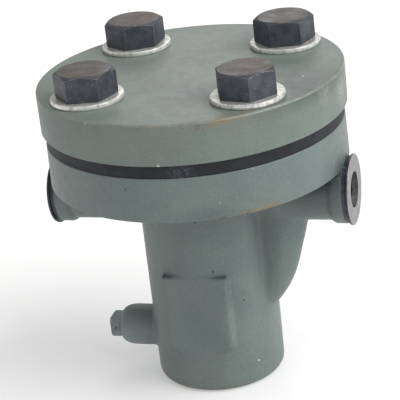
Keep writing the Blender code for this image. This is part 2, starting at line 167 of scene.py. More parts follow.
def post(name, x, y, low, high, radius, sides=48):
    # the same, standing between two heights
    return rodBetween(name, (x, y, low), (x, y, high), radius, sides)


def boltHoles(radius, low, high, sides=48):
    place, over = layout["boltPlace"], making["overcut"]
    return [post("boltHole", x, y, low - over, high + over, radius, sides)
            for x in (-place, place) for y in (-place, place)]


def block(name, low, high, bevel=0.0):
    deselect()
    low, high = Vector(low) * mm, Vector(high) * mm
    bpy.ops.mesh.primitive_cube_add(size=1, location=(low + high) / 2)
    piece = bpy.context.object
    piece.name = name
    piece.scale = high - low
    applyPlace(piece)
    if bevel:
        applied(piece, "BEVEL", width=bevel * mm, segments=making["bevelSteps"])
    return piece


def hexPrism(name, reach, low, high):
    # reach is from the axis to a corner
    deselect()
    bpy.ops.mesh.primitive_cylinder_add(
        vertices=6, radius=reach * mm, depth=(high - low) * mm,
        location=(0, 0, (low + high) / 2 * mm), rotation=(0, 0, math.radians(30)))
    piece = bpy.context.object
    piece.name = name
    applyPlace(piece)
    return piece


def outlineFrom(sizes, rows):
    # each row starts from two named sizes: (radius, height, [(more radius, more height), ...])
    return [(sizes[radius] + out, sizes[height] + rise)
            for radius, height, steps in rows for out, rise in steps]


def rounded(radius, height, size, steps, top):
    # quarter round between a side and a level face, as outline points going up
    points = []
    for step in range(steps + 1):
        angle = math.pi / 2 * step / steps
        rise = size * math.sin(angle)
        points.append((radius - size + size * math.cos(angle),
                       height - size + rise if top else height + size - rise))
    return points if top else points[::-1]


def threaded(thread, start, end):
    # V grooves side by side stand for the thread: (minor radius, depth, pitch)
    minor, depth, pitch = thread
    points = []
    place = start
    while place + pitch <= end:
        points += [(minor, place), (minor + depth, place + pitch / 2)]
        place += pitch
    return points + [(minor, place)]


def giveMaterials(piece, *materials):
    piece.data.materials.clear()
    for material in materials:
        piece.data.materials.append(material)


def paintFaces(piece, slotNumber, test):
    # test reads a face's centre in millimetres and its normal
    for face in piece.data.polygons:
        if test(face.center / mm, face.normal):
            face.material_index = slotNumber


def handOver(piece, body, node, slot, *materials):
    if materials:
        giveMaterials(piece, *materials)
    activate(piece)
    bpy.ops.object.shade_smooth_by_angle(angle=math.radians(making["smoothAngle"]))
    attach(piece, body)
    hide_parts(node)
    print("made", piece.name, len(piece.data.polygons), "faces")


def copyToBolts(pattern, name, node, slot, turns):
    # each of the four has its own mesh, turned by its own angle
    place = layout["boltPlace"]
    for number, (x, y) in enumerate(layout["boltCorners"], start=1):
        piece = pattern.copy()
        piece.data = pattern.data.copy()
        piece.name = f"{name}{number}"
        bpy.context.collection.objects.link(piece)
        moved(piece, (x * place, y * place, 0), (0, 0, turns[number - 1]))
        handOver(piece, f"bolt_{number}", f"{node}_{number}", slot)
    bpy.data.objects.remove(pattern, do_unlink=True)


def addNode(tree, kind, values):
    # values are sockets to link, constants for inputs, or the node's own settings
    node = tree.nodes.new("ShaderNode" + kind)
    for key, value in values.items():
        if isinstance(value, bpy.types.NodeSocket):
            tree.links.new(value, node.inputs[key])
        elif isinstance(key, int) or key in node.inputs:
            node.inputs[key].default_value = value
        else:
            setattr(node, key, value)
    return node


def newMaterial(name, roughness, metallic, sockets):
    material = bpy.data.materials.new(name)
    material.use_nodes = True
    tree = material.node_tree
    shader = tree.nodes["Principled BSDF"]
    shader.inputs["Roughness"].default_value = roughness
    shader.inputs["Metallic"].default_value = metallic
    for key, value in sockets.items():
        shader.inputs[key].default_value = value
    return material, tree, shader, addNode(tree, "TexCoord", {}).outputs["Object"]


def blots(tree, coords, size, low, high, detail=3):
    # soft mask from noise whose lumps are this many millimetres across
    lumps = addNode(tree, "TexNoise", {
        "Scale": 1 / (size * mm), "Detail": detail, "Vector": coords})
    return addNode(tree, "MapRange", {
        "From Min": low, "From Max": high, "Value": lumps.outputs["Fac"]}).outputs["Result"]


# how much a speck's outline wobbles, and the share of its size that has full strength
speckShape = {"wobbleScale": 2.5, "gain": 0.5, "shift": -0.25, "wobble": 0.35, "core": 0.6}


def specks(tree, coords, spacing, size, share):
    # scattered dots: this share of the cells holds a dot
    s = speckShape
    edge = size / spacing
    cells = addNode(tree, "TexVoronoi", {"Scale": 1 / (spacing * mm), "Vector": coords})
    lumps = addNode(tree, "TexNoise", {
        "Scale": s["wobbleScale"] / (size * mm), "Vector": coords})
    wobble = addNode(tree, "Math", {
        "operation": "MULTIPLY_ADD", 0: lumps.outputs["Fac"], 1: s["gain"], 2: s["shift"]})
    distance = addNode(tree, "Math", {
        "operation": "MULTIPLY_ADD", 0: wobble.outputs[0], 1: s["wobble"],
        2: cells.outputs["Distance"]})
    dot = addNode(tree, "MapRange", {
        "From Min": edge, "From Max": edge * s["core"], "Value": distance.outputs[0]})
    parts = addNode(tree, "SeparateColor", {"Color": cells.outputs["Color"]})
    chosen = addNode(tree, "Math", {
        "operation": "LESS_THAN", 0: parts.outputs["Red"], 1: share})
    return addNode(tree, "Math", {
        "operation": "MULTIPLY", 0: dot.outputs["Result"], 1: chosen.outputs[0]}).outputs[0]


def shadeAt(tree, coords, centre, reach, stretch=(1, 1, 1)):
    # 1 at one place, fading out evenly to its reach in millimetres
    place = addNode(tree, "VectorMath", {
        "operation": "SUBTRACT", 0: coords, 1: Vector(centre) * mm})
    scaled = addNode(tree, "VectorMath", {
        "operation": "MULTIPLY", 0: place.outputs[0], 1: stretch})
    length = addNode(tree, "VectorMath", {"operation": "LENGTH", 0: scaled.outputs[0]})
    return addNode(tree, "MapRange", {
        "From Min": reach * mm, "From Max": 0.0,
        "Value": length.outputs["Value"]}).outputs["Result"]


raggedPatch = {"size": 2.2, "low": 0.36, "high": 0.62, "detail": 5}


def patchAt(tree, coords, centre, reach, stretch=(1, 1, 1)):
    # the same, broken up like worn or rusted paint
    return addNode(tree, "Math", {
        "operation": "MULTIPLY", "use_clamp": True,
        0: shadeAt(tree, coords, centre, reach, stretch),
        1: blots(tree, coords, **raggedPatch)}).outputs[0]


def topWear(tree, coords, facesFrom, facesTo, size, low, high, detail):
    # faces that look up, half of it everywhere and the rest in blots
    facing = addNode(tree, "TexCoord", {}).outputs["Normal"]
    upward = addNode(tree, "SeparateXYZ", {0: facing}).outputs["Z"]
    top = addNode(tree, "MapRange", {
        "From Min": facesFrom, "From Max": facesTo, "Value": upward})
    worn = addNode(tree, "Math", {
        "operation": "MULTIPLY_ADD", 0: blots(tree, coords, size, low, high, detail),
        1: 0.5, 2: 0.5})
    return addNode(tree, "Math", {
        "operation": "MULTIPLY", 0: top.outputs["Result"], 1: worn.outputs[0]}).outputs[0]


maskMakers = {"blots": blots, "specks": specks, "shade": shadeAt, "patch": patchAt,
              "topWear": topWear}


def maskFrom(tree, coords, mask):
    kind, *values = mask
    return maskMakers[kind](tree, coords, *values)


def tinted(tree, below, color, mask, strength=1.0):
    # lays a colour over what is below, where the mask says
    amount = addNode(tree, "Math", {
        "operation": "MULTIPLY", "use_clamp": True, 0: mask, 1: strength})
    start = hexColor(below) if isinstance(below, str) else below
    mix = addNode(tree, "Mix", {
        "data_type": "RGBA", 0: amount.outputs[0], 6: start, 7: hexColor(color)})
    return mix.outputs[2]


def bumped(tree, shader, coords, layers):
    # layers of (grain in millimetres, height in millimetres), each on top of the last
    below = {}
    for grain, height in layers:
        lumps = addNode(tree, "TexNoise", {
            "Scale": 1 / (grain * mm), "Detail": 2, "Vector": coords})
        bump = addNode(tree, "Bump", {
            "Strength": 1.0, "Distance": height * mm, "Height": lumps.outputs["Fac"], **below})
        below = {"Normal": bump.outputs["Normal"]}
    tree.links.new(below["Normal"], shader.inputs["Normal"])


def makeFinish(name, roughness, metallic, base, layers=(), sheen=None, bumps=(), sockets={}):
    # base is (light, dark, mask); layers are (colour, strength, mask), laid one on another;
    # sheen is (smoothest, roughest, mask); a mask is its kind and that kind's values
    material, tree, shader, coords = newMaterial(name, roughness, metallic, sockets)
    light, dark, mask = base
    color = tinted(tree, light, dark, maskFrom(tree, coords, mask))
    for tone, strength, mask in layers:
        color = tinted(tree, color, tone, maskFrom(tree, coords, mask), strength)
    tree.links.new(color, shader.inputs["Base Color"])
    if sheen:
        low, high, mask = sheen
        ramp = addNode(tree, "MapRange", {
            "To Min": low, "To Max": high, "Value": maskFrom(tree, coords, mask)})
        tree.links.new(ramp.outputs["Result"], shader.inputs["Roughness"])
    if bumps:
        bumped(tree, shader, coords, bumps)
    return material


# colours of the enamel and its marks; some also serve as painted shade, as noted at each mark
paint = {
    "bodyLight": "#697572", "bodyDark": "#626f6d", "capLight": "#6e7973", "capDark": "#68736e",
    "chip": "#c9cbc6", "pitAndShade": "#2c3436", "rust": "#856c45", "rustDark": "#63523e",
    "dirt": "#5f5a4a", "scuff": "#9a9a94", "shadeTone": "#3c4648", "sootAndShade": "#20282b",
    "bodyBumps": [(4.5, 0.28), (1.3, 0.12)], "capBumps": [(7, 0.03), (1.1, 0.03)],
}


def machineryPaint(name, light, dark, shades, patches, bumps):
    # alkyd machinery enamel brushed over iron: satin, a little uneven, chipped to pale primer;
    # marks are (centre in mm, reach in mm, colour, strength, stretch if any)
    p = paint
    layers = [
        (p["dirt"], 0.22, ("blots", 60, 0.48, 0.80, 4)),
        ("#ffffff", 0.03, ("blots", 0.9, 0.45, 0.72, 1)),
        ("#20282a", 0.08, ("blots", 1.3, 0.52, 0.75, 1)),
        (p["pitAndShade"], 0.7, ("specks", 9, 0.8, 0.09)), (p["chip"], 0.6, ("specks", 16, 0.7, 0.06))]
    for kind, marks in (("shade", shades), ("patch", patches)):
        layers += [(tone, strength, (kind, centre, reach, *stretch))
                   for centre, reach, tone, strength, *stretch in marks]
    return makeFinish(
        name, 0.45, 0.0, (light, dark, ("blots", 26, 0.38, 0.62)), layers,
        (0.43, 0.52, ("blots", 5, 0.3, 0.7)), bumps, {"Specular IOR Level": 0.4})


def makeBodyPaint():
    p = paint
    shades = [
        ((41, -15, 96), 13, "#30393b", 0.38, (1.0, 0.8, 0.24)),  # beside the web, both sides: painted shade in the crease
        ((41, 15, 96), 13, "#30393b", 0.38, (1.0, 0.8, 0.24)),
        ((76, -14, 136), 26, "#262e31", 0.8, (0.8, 0.9, 0.9)),  # neck under the flange: painted shade
        ((-19, -38, 81.3), 8, p["pitAndShade"], 0.6, (1, 0.8, 6)),  # ledge of the pad: painted shade on its top, under the flange
        ((17, -38, 81.3), 9, p["pitAndShade"], 0.6, (1, 0.8, 6)),
        ((0, -41, 55), 34, p["shadeTone"], 0.22, (1, 1, 0.8)),  # pad: painted shade on its front face
        ((-60, -8, 25), 28, "#8f9c9b", 0.5),  # drain boss: painted light, a lighter patch for light from below
        ((28, -88, 145.5), 15, p["shadeTone"], 0.4, (0.6, 1, 2.2)),  # low on the flange
        ((56, -76, 169), 1.5, p["chip"], 1.5),
        ((32.2, -25.4, 16.6), 0.9, p["chip"], 1.5),
        ((37.1, -86.7, 152.3), 0.9, p["chip"], 1.5),
        ((18.1, -36.9, 36.6), 0.6, p["pitAndShade"], 2.0),
        ((12.8, -39, 85), 0.9, p["pitAndShade"], 1.8),
        ((5.5, -40.7, 119.5), 0.9, p["pitAndShade"], 1.6),
        ((28, -30, 61.5), 0.9, p["pitAndShade"], 1.6),
        ((38.4, -14.4, 74.4), 0.9, p["pitAndShade"], 1.6)]
    patches = [
        ((60, -72, 142.8), 14, p["rust"], 1.1, (1, 1, 3.2)),  # under the flange's edge
        ((49, -80, 142.4), 7, p["rustDark"], 1.6, (1, 1, 2)),
        ((38, -86, 142.2), 5, p["rustDark"], 1.3, (1, 1, 2)),
        ((-20, -36, 2), 26, p["rustDark"], 0.7, (1, 1, 5)),  # foot of the bowl
        ((12, -38, 1), 26, p["rustDark"], 0.6, (1, 1, 5)),
        ((20, -36, 70), 9, "#2f383b", 0.35, (1, 1, 0.7)),  # edge of the pad
        # top of the neck under the flange: soot, and painted shade
        ((82, -11, 142), 16, p["sootAndShade"], 1.3, (0.8, 1, 1)),
        ((20.5, -41, 50), 26, p["scuff"], 0.2, (6, 2, 0.9)),
        ((10, -39, 142.2), 30, p["pitAndShade"], 1.5, (1, 1, 12))]  # where bowl meets flange: painted shade in the corner under it
    return machineryPaint(
        "machineryPaintOnCasting", p["bodyLight"], p["bodyDark"], shades, patches, p["bodyBumps"])


def makeCapPaint():
    p = paint
    shades = [
        ((85, -35, 203), 60, "#4b5550", 0.9, (1, 1, 6)),  # right of the top: painted shade, darker towards the right
        ((74.5, -13.5, 203.2), 0.9, p["chip"], 1.6),
        ((-38, -86.5, 202), 1.3, p["chip"], 1.6),
        ((5.5, -95, 178.3), 1.1, p["chip"], 1.6)]
    patches = [
        ((43, -84.8, 202.2), 12, p["rust"], 1.0, (1, 1, 2.4)),  # front of the rim
        ((55, -77.5, 203), 9, p["rust"], 0.8, (1, 1, 2)),
        ((30, -90, 201), 8, p["rustDark"], 0.6, (1, 1, 2)),
        ((94, -5, 190), 12, p["scuff"], 0.9),  # right side
        ((90, -30, 198), 9, p["scuff"], 0.6),
        ((0, 25, 203), 34, "#6b6152", 0.45),  # middle of the top
        ((-52, -72, 203), 13, p["dirt"], 0.5)]
    return machineryPaint(
        "machineryPaintOnCap", p["capLight"], p["capDark"], shades, patches, p["capBumps"])


bodyPaint = makeBodyPaint()
capPaint = makeCapPaint()
# the same enamel thinned at an edge, where handling shows a paler, shinier line
rimPaint = makeFinish(
    "paintWornAtEdge", 0.38, 0.0, ("#788078", "#6d766f", ("blots", 8, 0.35, 0.65)),
    [("#93897a", 0.45, ("blots", 3.2, 0.52, 0.70, 4)),
     (paint["rust"], 0.9, ("patch", (43, -85, 202.5), 12)),
     (paint["rustDark"], 0.5, ("blots", 11, 0.66, 0.74, 5))],
    bumps=[(1.1, 0.06)], sockets={"Specular IOR Level": 0.5})
# dip-blued machined rim: dark and cool on its edge; where it runs back over the collar's end it
# is also painted shade
bluedRimAndShade = makeFinish(
    "bluedRimEdgeAndShade", 0.42, 0.25, ("#2c3439", "#3f484d", ("blots", 5, 0.42, 0.66, 4)),
    bumps=[(0.8, 0.04)])
# cut thread and cored passages: oxidised iron, so the holes read as dark
boreIron = makeFinish(
    "oxidisedBore", 0.55, 0.3, ("#4b4f52", "#33312f", ("blots", 3.5, 0.4, 0.65, 4)),
    bumps=[(1.0, 0.05)])
# graphite sheet on a steel core: dull blue-black with pale scuffs
gasketBlack = makeFinish(
    "graphiteJointRing", 0.62, 0.0, ("#181c20", "#22272b", ("blots", 9, 0.38, 0.62, 4)),
    [("#5c646a", 0.5, ("specks", 8, 1.0, 0.08)),
     ("#454b4f", 1.2, ("patch", (17, -91, 173), 9))],
    bumps=[(1.4, 0.10)], sockets={"Specular IOR Level": 0.35})
# black-oxide heat-treated screws: near black, browning on top where the oxide has worn
boltSteel = makeFinish(
    "blackOxideSteel", 0.46, 0.35, ("#3c4048", "#4d5157", ("blots", 6, 0.38, 0.66, 4)),
    [("#8d9098", 0.5, ("specks", 2.0, 0.45, 0.30)),
     ("#4e4640", 0.9, ("topWear", 0.80, 0.97, 9, 0.30, 0.62, 5)),
     ("#4a3a33", 0.45, ("blots", 12, 0.58, 0.74, 4))],
    (0.42, 0.60, ("blots", 9, 0.30, 0.62, 5)), [(2.6, 0.05), (0.7, 0.03)])
# corners rubbed back to bright steel by the spanner, and painted lighter still as a highlight
boltEdgeWearAndHighlight = makeFinish(
    "steelRubbedBrightAndHighlight", 0.34, 0.6, ("#e0dcd6", "#6d6a68", ("blots", 3.0, 0.42, 0.66, 4)))
# dull zinc plate: pale, with brownish handling stains
zincPlate = makeFinish(
    "zincPlate", 0.36, 0.5, ("#c2c2bd", "#a2a29d", ("blots", 1.7, 0.40, 0.62, 4)),
    [("#7b7264", 0.6, ("specks", 2.6, 0.55, 0.16)),
     ("#8d8473", 0.4, ("blots", 9, 0.58, 0.75, 5))],
    (0.28, 0.48, ("blots", 4, 0.35, 0.65)), [(1.6, 0.03)])
# the plated rim of the washer, painted lighter as a highlight along its edge
zincRimHighlight = makeFinish(
    "zincPlateRimHighlight", 0.30, 0.5, ("#e6e6e2", "#bcbcb7", ("blots", 3.0, 0.45, 0.70, 3)))
# the plug was painted over with the body: the same grey, scraped on its corners, here mixed
# lighter than the body's as painted light
plugPaintLit = makeFinish(
    "paintedPlugLit", 0.48, 0.0, ("#808c8b", "#6b7776", ("blots", 4, 0.4, 0.62)),
    [("#2f3332", 0.8, ("blots", 2.2, 0.60, 0.68, 4)),
     ("#c3c5bf", 0.7, ("specks", 3.5, 0.4, 0.25))],
    bumps=[(1.5, 0.12)])

# turning rings about 2 mm apart, coarser than the real 0.3 mm ones so that they show
turning = {"size": 6.5, "distortion": 0.25, "strength": 0.35, "height": 0.05}


def makeBareIron():
    # faced cast iron, oiled: grey with brown stains
    material = makeFinish(
        "facedCastIron", 0.42, 0.55, ("#8d8c8b", "#757473", ("blots", 4, 0.4, 0.65)),
        [("#6f6253", 0.5, ("blots", 7, 0.60, 0.78, 5))])
    tree = material.node_tree
    coords = addNode(tree, "TexCoord", {}).outputs["Object"]
    centred = addNode(tree, "Mapping", {
        "Location": (0, 0, -layout["portHeight"] * mm), "Vector": coords})
    rings = addNode(tree, "TexWave", {
        "wave_type": "RINGS", "rings_direction": "X", "Scale": 1 / (turning["size"] * mm),
        "Distortion": turning["distortion"], "Vector": centred.outputs[0]})
    bump = addNode(tree, "Bump", {
        "Strength": turning["strength"], "Distance": turning["height"] * mm,
        "Height": rings.outputs["Fac"]})
    tree.links.new(bump.outputs["Normal"], tree.nodes["Principled BSDF"].inputs["Normal"])
    return material


def makeStainless(name, light, dark, roughness, grain):
    # stainless steel: bright, lightly marked by steam and scale
    return makeFinish(
        name, roughness, 1.0, (light, dark, ("blots", grain, 0.38, 0.66, 4)),
        [("#8a7452", 0.45, ("blots", grain * 2.5, 0.60, 0.78, 5))],
        (roughness, roughness + 0.08, ("blots", grain, 0.3, 0.7)), [(0.9, 0.01)])


bareIron = makeBareIron()
sheetSteel = makeStainless("pressedStainless", "#c4c3bf", "#b8b7b3", 0.30, 9)
turnedSteel = makeStainless("turnedStainless", "#d2d1cd", "#bcbab6", 0.20, 4)
print("materials ready")

# millimetres; "Outline" rows are read by outlineFrom
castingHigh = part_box("body_casting")[1]
casting = {
    "bowlRadius": 41.0, "bowlFillet": 5.0, "joinDepth": 8, "underRadius": 60,
    "flangeBottom": 142.0, "flangeTop": castingHigh.z / mm, "flangeFoot": 93.9,
    "flangeRadius": 93.25, "portFace": castingHigh.x / mm,
    "flangeOutline": [("flangeFoot", "flangeBottom", [(-0.8, 0), (-0.2, 0.3), (0, 0.9)]),
                      ("flangeRadius", "flangeTop", [(0, -0.5), (-0.5, 0)])],
    "neckRadius": 19.0, "neckStart": 12, "neckEnd": 92,
    "collarRadius": 21.0, "collarRoot": 70, "collarStart": 84.8, "rimRadius": 22.14,
    "rimStart": 95.8,
    "collarOutline": [("neckRadius", "collarRoot", [(-0.6, 0)]),
                      ("neckRadius", "collarStart", [(-0.1, -1.5), (0.6, -0.2)]),
                      ("collarRadius", "collarStart", [(-0.4, 1.2), (0, 2.6)]),
                      ("collarRadius", "rimStart", [(0, -2.6), (0, -0.4), (-0.5, -0.1)]),
                      ("rimRadius", "rimStart", [(-0.25, 0), (0, 0.25)]),
                      ("rimRadius", "portFace", [(0, -0.2), (-0.2, 0)])],
    "boreThread": (9.8, 0.8, 1.81), "threadStart": 74, "threadStop": 1.6, "mouthRadius": 11.3,
    "boreRoot": 9.5, "boreInner": {1: 45, -1: 59},
    "inletDrop": ((38.5, 0, 56), (54, 0, 126)), "inletEntry": ((24, 0, 56), (39.5, 0, 56)),
    "entryRadius": 6.3,
    "webWidth": 30.0, "webStations": 22, "webCrowding": 1.6, "webAnchor": 10.0,
    "webInset": 0.1,
    "webReach": [(45.4, 35.0), (46.8, 41.6), (50.5, 45.2), (57, 50.0), (66, 54.8),
                 (75, 58.2), (85, 61.0), (95, 64.0), (106, 67.0), (124, 71.0)],
    "bossRadius": 13.5, "bossFace": 9.2, "bossStart": 24, "bossEnd": 65.0, "bossRound": 10.0,
    "bossSteps": 8, "bossHeight": 27.0,
    "drainThread": (8.1, 0.7, 1.81), "drainStart": 36, "drainMouth": 9.0,
    "padHalfWidth": 20.9, "padFace": 41.3, "padBack": 24, "padBottom": 30.9, "padTop": 81.4,
    "cavityRadius": 34.0, "cavityFloor": 9.0, "cavityFillet": 5, "boltHole": 11.4,
    "voxel": 1.1, "softening": 7, "flatBase": 1.2, "lumps": ((7, 0.10), (2.6, 0.05)),
}


def webReach(height):
    # the web swells out quickly at its foot and then leans to the port
    for (z0, r0), (z1, r1) in zip(casting["webReach"], casting["webReach"][1:]):
        if height <= z1:
            return r0 + (r1 - r0) * (height - z0) / (z1 - z0)
    return casting["webReach"][-1][1]


def makeWebParts():
    # a round nose swept up the web's outline, and the plain core behind it
    c = casting
    half, stations, anchor = c["webWidth"] / 2, c["webStations"], c["webAnchor"]
    foot, crest = c["webReach"][0][0], c["webReach"][-1][0]
    heights = [foot + (crest - foot) * (i / stations) ** c["webCrowding"]
               for i in range(stations + 1)]
    noses = [webReach(h) - half for h in heights]
    deselect()
    bpy.ops.mesh.primitive_circle_add(
        vertices=56, radius=half * mm, fill_type="NGON",
        location=(noses[0] * mm, 0, heights[0] * mm))
    nose = bpy.context.object
    applyPlace(nose)
    openMesh()
    for i in range(stations):
        extrudeBy((noses[i + 1] - noses[i], 0, heights[i + 1] - heights[i]))
    closeMesh()

    deselect()
    bpy.ops.mesh.primitive_plane_add(size=1, location=(
        (anchor + noses[0]) / 2 * mm, 0, heights[0] * mm))
    core = bpy.context.object
    core.scale = ((noses[0] - anchor) * mm, (c["webWidth"] - c["webInset"]) * mm, 1)
    applyPlace(core)
    openMesh()
    for i in range(stations):
        extrudeBy((0, 0, heights[i + 1] - heights[i]))
        wider = (noses[i + 1] - anchor) / (noses[i] - anchor)
        bpy.ops.transform.resize(
            value=(wider, 1, 1), center_override=(anchor * mm, 0, heights[i + 1] * mm))
    closeMesh()
    return [nose, core]


def makeRoughCasting():
    # everything the sand mould shaped, joined and given soft cast corners
    c = casting
    inFlange = c["flangeBottom"] + c["joinDepth"]
    bowl = turnedUp("roughCasting", rounded(c["bowlRadius"], 0, c["bowlFillet"], 8, False)
                    + [(c["bowlRadius"], inFlange)], 144)
    wide = c["underRadius"]
    shapes = [turnedUp("underFlange", [(wide, c["flangeBottom"] + 0.4), (wide, inFlange)], 96)]
    for side in (1, -1):
        neck = turnedUp("neck", [
            (c["neckRadius"], c["neckStart"]), (c["neckRadius"], c["neckEnd"])], 72)
        shapes.append(pointing(neck, layout["portHeight"], side))
    bossOutline = [(c["bossRadius"], c["bossStart"])]
    for step in range(c["bossSteps"] + 1):
        angle = math.pi / 2 * step / c["bossSteps"]
        bossOutline.append((
            c["bossFace"] + (c["bossRadius"] - c["bossFace"]) * math.cos(angle),
            c["bossEnd"] - c["bossRound"] * (1 - math.sin(angle))))
    shapes.append(pointing(turnedUp("boss", bossOutline, 64), c["bossHeight"], -1))
    shapes.append(block(
        "pad", (-c["padHalfWidth"], -c["padFace"], c["padBottom"]),
        (c["padHalfWidth"], -c["padBack"], c["padTop"])))
    shapes += makeWebParts()
    deselect()
    for shape in shapes:
        shape.select_set(True)
    bowl.select_set(True)
    bpy.context.view_layer.objects.active = bowl
    bpy.ops.object.join()
    applied(bowl, "REMESH", mode="VOXEL", voxel_size=c["voxel"] * mm)
    applied(bowl, "SMOOTH", factor=0.5, iterations=c["softening"])
    # the sand's low lumps; the base stays flat
    places = [vertex.co.copy() for vertex in bowl.data.vertices]
    outward = [vertex.normal.copy() for vertex in bowl.data.vertices]
    (wideLump, wideRise), (fineLump, fineRise) = c["lumps"]
    for vertex, place, normal in zip(bowl.data.vertices, places, outward):
        if place.z > c["flatBase"] * mm:
            lump = (noise.noise(place / (wideLump * mm)) * wideRise
                    + noise.noise(place / (fineLump * mm)) * fineRise)
            vertex.co = place + normal * lump * mm
        elif place.z < 0:
            vertex.co.z = 0
    return bowl


def castingCutters():
    c = casting
    height, face, top = layout["portHeight"], c["portFace"], c["flangeTop"]
    cavity = rounded(c["cavityRadius"], c["cavityFloor"], c["cavityFillet"], 6, False)
    cutters = [turnedUp("cavity", cavity + [(c["cavityRadius"], top + making["overcut"])], 128)]
    for side, inner in c["boreInner"].items():
        outline = [(c["boreRoot"], inner)]
        outline += threaded(c["boreThread"], c["threadStart"], face - c["threadStop"])
        outline += [(c["mouthRadius"], face), (c["mouthRadius"], face + 3)]
        cutters.append(pointing(turnedUp("bore", outline, 64), height, side))
    cutters.append(rodBetween("inletDrop", *c["inletDrop"], layout["passageRadius"]))
    cutters.append(rodBetween("inletEntry", *c["inletEntry"], c["entryRadius"]))
    cutters.append(post(
        "outletRise", layout["outletX"], 0, height, top + 4, layout["passageRadius"]))
    outline = [(c["drainThread"][0], c["bossStart"])]
    outline += threaded(c["drainThread"], c["drainStart"], c["bossEnd"] - 1)
    outline += [(c["drainMouth"], c["bossEnd"] + 0.5), (c["drainMouth"], c["bossEnd"] + 4)]
    cutters.append(pointing(turnedUp("drain", outline, 48), c["bossHeight"], -1))
    return cutters + boltHoles(c["boltHole"], c["flangeBottom"], top)


def makeCasting():
    c = casting
    piece = makeRoughCasting()
    print("rough casting", len(piece.data.polygons), "faces")
    height, face = layout["portHeight"], c["portFace"]
    flange = turnedUp("flange", outlineFrom(c, c["flangeOutline"]), 180)
    combined(piece, flange, "UNION", "MANIFOLD")
    for side in (1, -1):
        collar = turnedUp("collar", outlineFrom(c, c["collarOutline"]), 96)
        combined(piece, pointing(collar, height, side), "UNION", "MANIFOLD")
    cutAway(piece, castingCutters())
    piece.name = "trapBody"

    def inBore(centre, normal):
        fromAxis = math.hypot(centre.y, centre.z - height)
        inPort = (abs(centre.x) > 60 and fromAxis < c["mouthRadius"] + 0.1
                  and abs(centre.x) < face - 1.5)
        inCavity = (math.hypot(centre.x, centre.y) < c["cavityRadius"] + 0.3
                    and centre.z > c["cavityFloor"] - 0.3)
        inDrain = (centre.x < -30
                   and math.hypot(centre.y, centre.z - c["bossHeight"]) < c["drainMouth"] + 0.1)
        place = layout["boltPlace"]
        inHole = (math.hypot(abs(centre.x) - place, abs(centre.y) - place) < c["boltHole"] + 0.2
                  and centre.z > c["flangeBottom"] and abs(normal.z) < 0.5)
        return inPort or inCavity or inDrain or inHole

    giveMaterials(piece, bodyPaint, bareIron, boreIron, bluedRimAndShade)
    iron, bore, rim = 1, 2, 3
    # the dark rim edge reaches back over the collar's end, there partly as painted shade
    paintFaces(piece, rim, lambda p, n: abs(p.x) > c["rimStart"] - 2.6
               and (p.z < c["flangeBottom"] - 0.1 or abs(p.x) > c["flangeFoot"] + 0.3))
    paintFaces(piece, iron, lambda p, n: abs(p.x) > face - 0.4 and abs(n.x) > 0.3)
    paintFaces(piece, iron, lambda p, n: abs(p.x) > face - 1.7
               and math.hypot(p.y, p.z - height) < c["mouthRadius"] + 0.2)
    paintFaces(piece, iron, lambda p, n: p.z > c["flangeTop"] - 0.1 and n.z > 0.9)
    paintFaces(piece, bore, inBore)
    handOver(piece, "body", "body_casting", "body_paint")


capLow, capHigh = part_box("cap")
cap = {
    "radius": capHigh.x / mm, "bottom": capLow.z / mm, "top": capHigh.z / mm, "round": 1.6,
    "foot": 0.6, "holeRadius": 11.9, "riseTop": 191, "crossHeight": 190, "crossRadius": 5,
    "crossOver": 2, "seatTop": 187, "seatRadius": 6.7, "screwTop": 188, "screwRadius": 2.7,
}


def makeCap():
    c = cap
    outletX, seatX, under = layout["outletX"], layout["seatX"], c["bottom"] - making["overcut"]
    outline = [(c["radius"] - c["foot"], c["bottom"]), (c["radius"], c["bottom"] + c["foot"])]
    outline += rounded(c["radius"], c["top"], c["round"], 7, True)
    piece = turnedUp("trapCap", outline, 200)
    cutters = [post("rise", outletX, 0, under, c["riseTop"], layout["passageRadius"]),
               rodBetween("cross", (outletX - c["crossOver"], 0, c["crossHeight"]),
                          (seatX + c["crossOver"], 0, c["crossHeight"]), c["crossRadius"]),
               post("seatHole", seatX, 0, under, c["seatTop"], c["seatRadius"])]
    cutters += [post("screwHole", seatX, layout["screwY"] * side, under, c["screwTop"],
                     c["screwRadius"]) for side in (-1, 1)]
    cutAway(piece, cutters + boltHoles(c["holeRadius"], c["bottom"], c["top"], 64))
    giveMaterials(piece, capPaint, rimPaint, bareIron, boreIron)
    rim, iron, bore = 1, 2, 3
    paintFaces(piece, rim, lambda p, n: 0.12 < n.z < 0.985
               and math.hypot(p.x, p.y) > c["radius"] - c["round"] - 0.1)
    paintFaces(piece, iron, lambda p, n: p.z < c["bottom"] + 0.1 and n.z < -0.9)
    paintFaces(piece, bore, lambda p, n: math.hypot(p.x, p.y) < c["radius"] - 3
               and c["bottom"] + 0.1 < p.z < c["top"] - 0.1)
    handOver(piece, "cap", "cap", "cap_paint")


# sunk a little into both flanges, so that no gap shows
gasket = {"sinkBelow": 0.25, "sinkAbove": 0.2, "edge": 0.4, "innerRadius": 40, "holeRadius": 11.9}


def makeGasket():
    g = gasket
    low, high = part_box("joint_gasket")
    bottom, top = low.z / mm - g["sinkBelow"], high.z / mm + g["sinkAbove"]
    radius, over = high.x / mm, making["overcut"]
    outline = [
        (radius - g["edge"], bottom), (radius, bottom + g["edge"]), (radius, top - g["edge"]),
        (radius - g["edge"], top), (g["innerRadius"], top), (g["innerRadius"], bottom)]
    piece = turnedUp("jointRing", outline, 180, hollow=True)
    outlet = post(
        "outletHole", layout["outletX"], 0, bottom - over, top + over, layout["passageRadius"])
    cutAway(piece, [outlet] + boltHoles(g["holeRadius"], bottom, top))
    handOver(piece, "body", "joint_gasket", "gasket", gasketBlack)


